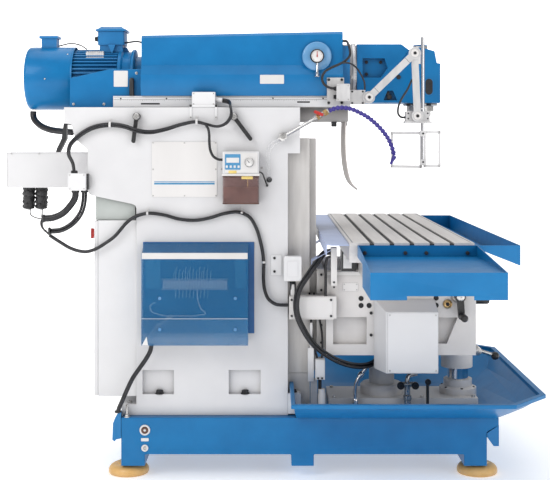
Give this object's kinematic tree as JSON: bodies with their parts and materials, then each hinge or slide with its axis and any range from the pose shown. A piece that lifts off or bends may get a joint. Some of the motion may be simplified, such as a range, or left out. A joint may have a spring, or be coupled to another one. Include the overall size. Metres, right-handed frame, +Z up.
{
  "type": "vertical milling machine",
  "caption": "Universal ram-type milling machine with a vertical spindle head, T-slotted table on a lifting knee, drip pan and motor on the ram's rear end.",
  "frame": {"origin": "on the floor under the middle of the machine", "axes": "+X along the ram towards the spindle head, +Y along the table away from the operator's near side, +Z up"},
  "size_m": [2.435, 2.98, 2.052],
  "materials": {
    "blue_paint": "gloss paint",
    "pale_blue_paint": "satin paint",
    "off_white_paint": "satin paint",
    "warm_white_paint": "satin paint",
    "way_grey": "painted and scraped",
    "ram_iron": "ground",
    "table_iron": "ground",
    "steel": "turned",
    "chrome": "polished",
    "alloy": "satin",
    "black_plastic": "moulded",
    "black_cable": "sheath",
    "red_plastic": "moulded",
    "violet_plastic": "moulded",
    "orange_rubber": "moulded",
    "amber_plastic": "clear",
    "beige_rubber": "sheet",
    "clear_plastic": "clear",
    "clear_blue_plastic": "clear"
  },
  "bodies": {
    "base": {"base_casting": "blue_paint", "levelling_pad_rear_near": "orange_rubber", "levelling_pad_rear_far": "orange_rubber", "levelling_pad_front_near": "orange_rubber", "levelling_pad_front_far": "orange_rubber", "drip_pan": "blue_paint", "foot_plate": "warm_white_paint", "guide_column": "chrome", "elevating_screw": "steel", "column": "off_white_paint", "column_ways": "way_grey", "electrical_cabinet": "off_white_paint", "cable_duct": "off_white_paint", "junction_box": "off_white_paint", "terminal_board": "blue_paint", "terminal_cover": "clear_blue_plastic", "lube_pump_unit": "off_white_paint", "lube_reservoir": "amber_plastic", "ram_switch_box": "off_white_paint", "cable_bundle_upper": "black_cable", "conduit_upper": "black_cable", "conduit_lower": "black_cable", "swag_cable": "black_cable", "knee_loop_cable": "black_cable", "terminal_hose": "black_cable", "motor_hose": "black_cable"},
    "door": {"cabinet_door": "off_white_paint"},
    "clamp_lever_rear": {"ram_clamp_lever_rear": "black_plastic"},
    "clamp_lever_front": {"ram_clamp_lever_front": "black_plastic"},
    "coolant_arm": {"coolant_pipe": "steel", "coolant_hose": "violet_plastic"},
    "coolant_valve": {"coolant_valve_handle": "red_plastic"},
    "knee": {"knee": "warm_white_paint", "feed_drive_cover": "off_white_paint", "table_feed_gearbox": "off_white_paint", "knee_hose_bundle": "black_cable"},
    "knee_crank": {"knee_crank": "black_plastic"},
    "front_crank": {"front_crank": "black_plastic"},
    "knee_clamp": {"knee_clamp_lever": "black_plastic"},
    "table": {"table": "table_iron", "end_tray_near": "blue_paint", "end_tray_far": "blue_paint", "front_gutter": "blue_paint", "rear_guard": "pale_blue_paint"},
    "ram": {"ram": "ram_iron", "ram_cover": "blue_paint", "motor_frame": "blue_paint", "motor_shroud": "blue_paint", "motor_cradle": "blue_paint", "apron": "beige_rubber", "guard_bracket": "alloy", "head_cable": "black_cable"},
    "head": {"head_housing": "blue_paint"},
    "spindle_head": {"spindle_head": "blue_paint"},
    "spindle": {"spindle": "steel"},
    "guard_upper": {"guard_arm_upper": "alloy"},
    "guard_lower": {"guard_arm_lower": "alloy", "wrist_cable": "black_cable"},
    "guard_carriage": {"guard_carriage": "alloy"},
    "guard_shield": {"guard_shield": "clear_plastic"}
  },
  "joints": [
    {"name": "knee_travel", "type": "slide", "parent": "base", "child": "knee", "axis": [0, 0, 1], "range_m": [-0.04, 0.27], "deforming": ["knee_loop_cable", "apron"]},
    {"name": "table_travel", "type": "slide", "parent": "knee", "child": "table", "axis": [0, 1, 0], "range_m": [-0.7, 0.7]},
    {"name": "ram_travel", "type": "slide", "parent": "base", "child": "ram", "axis": [1, 0, 0], "range_m": [-0.13, 0.32], "deforming": ["motor_hose"]},
    {"name": "head_swivel", "type": "hinge", "parent": "ram", "child": "head", "pos_m": [0.4318, 0, 1.83], "axis": [-1, 0, 0], "range_deg": [-90, 90]},
    {"name": "spindle_head_swivel", "type": "hinge", "parent": "head", "child": "spindle_head", "pos_m": [0.587, 0, 1.812], "axis": [0.8187, 0, -0.5742], "range_deg": [-90, 180]},
    {"name": "spindle_rotation", "type": "hinge", "parent": "spindle_head", "child": "spindle", "pos_m": [0.745, 0, 1.628], "axis": [0, 0, -1], "continuous": true},
    {"name": "guard_shoulder", "type": "hinge", "parent": "ram", "child": "guard_upper", "pos_m": [0.475, -0.29, 1.708], "axis": [0, -1, 0], "range_deg": [-15, 55]},
    {"name": "guard_elbow", "type": "hinge", "parent": "guard_upper", "child": "guard_lower", "pos_m": [0.682, -0.29, 1.908], "axis": [0, -1, 0], "range_deg": [-20, 60]},
    {"name": "guard_wrist", "type": "hinge", "parent": "guard_lower", "child": "guard_carriage", "pos_m": [0.695, -0.272, 1.6237], "axis": [0, 1, 0], "range_deg": [-30, 45], "deforming": ["wrist_cable"]},
    {"name": "guard_lift", "type": "slide", "parent": "guard_carriage", "child": "guard_shield", "axis": [0, 0, 1], "range_m": [-0.25, 0.03]},
    {"name": "knee_crank_turn", "type": "hinge", "parent": "knee", "child": "knee_crank", "pos_m": [0.88, -0.3, 0.812], "axis": [0, -1, 0], "continuous": true},
    {"name": "front_crank_turn", "type": "hinge", "parent": "knee", "child": "front_crank", "pos_m": [0.96, 0.12, 0.8], "axis": [1, 0, 0], "continuous": true},
    {"name": "knee_clamp_turn", "type": "hinge", "parent": "knee", "child": "knee_clamp", "pos_m": [1.0146, 0, 0.508], "axis": [0, 1, 0], "range_deg": [-40, 5]},
    {"name": "ram_clamp_rear_turn", "type": "hinge", "parent": "base", "child": "clamp_lever_rear", "pos_m": [-0.574, -0.3103, 1.62], "axis": [0, 1, 0], "range_deg": [-35, 20]},
    {"name": "ram_clamp_front_turn", "type": "hinge", "parent": "base", "child": "clamp_lever_front", "pos_m": [-0.137, -0.3103, 1.62], "axis": [0, 1, 0], "range_deg": [-60, 40]},
    {"name": "cabinet_door_swing", "type": "hinge", "parent": "base", "child": "door", "pos_m": [-0.77, 0.3, 0.75], "axis": [0, 0, 1], "range_deg": [-110, 0]},
    {"name": "coolant_swing", "type": "hinge", "parent": "base", "child": "coolant_arm", "pos_m": [0.085, -0.335, 1.529], "axis": [0, -1, 0], "range_deg": [-25, 25]},
    {"name": "coolant_valve_turn", "type": "hinge", "parent": "coolant_arm", "child": "coolant_valve", "pos_m": [0.258, -0.375, 1.628], "axis": [0, 1, 0], "range_deg": [0, 90]}
  ]
}
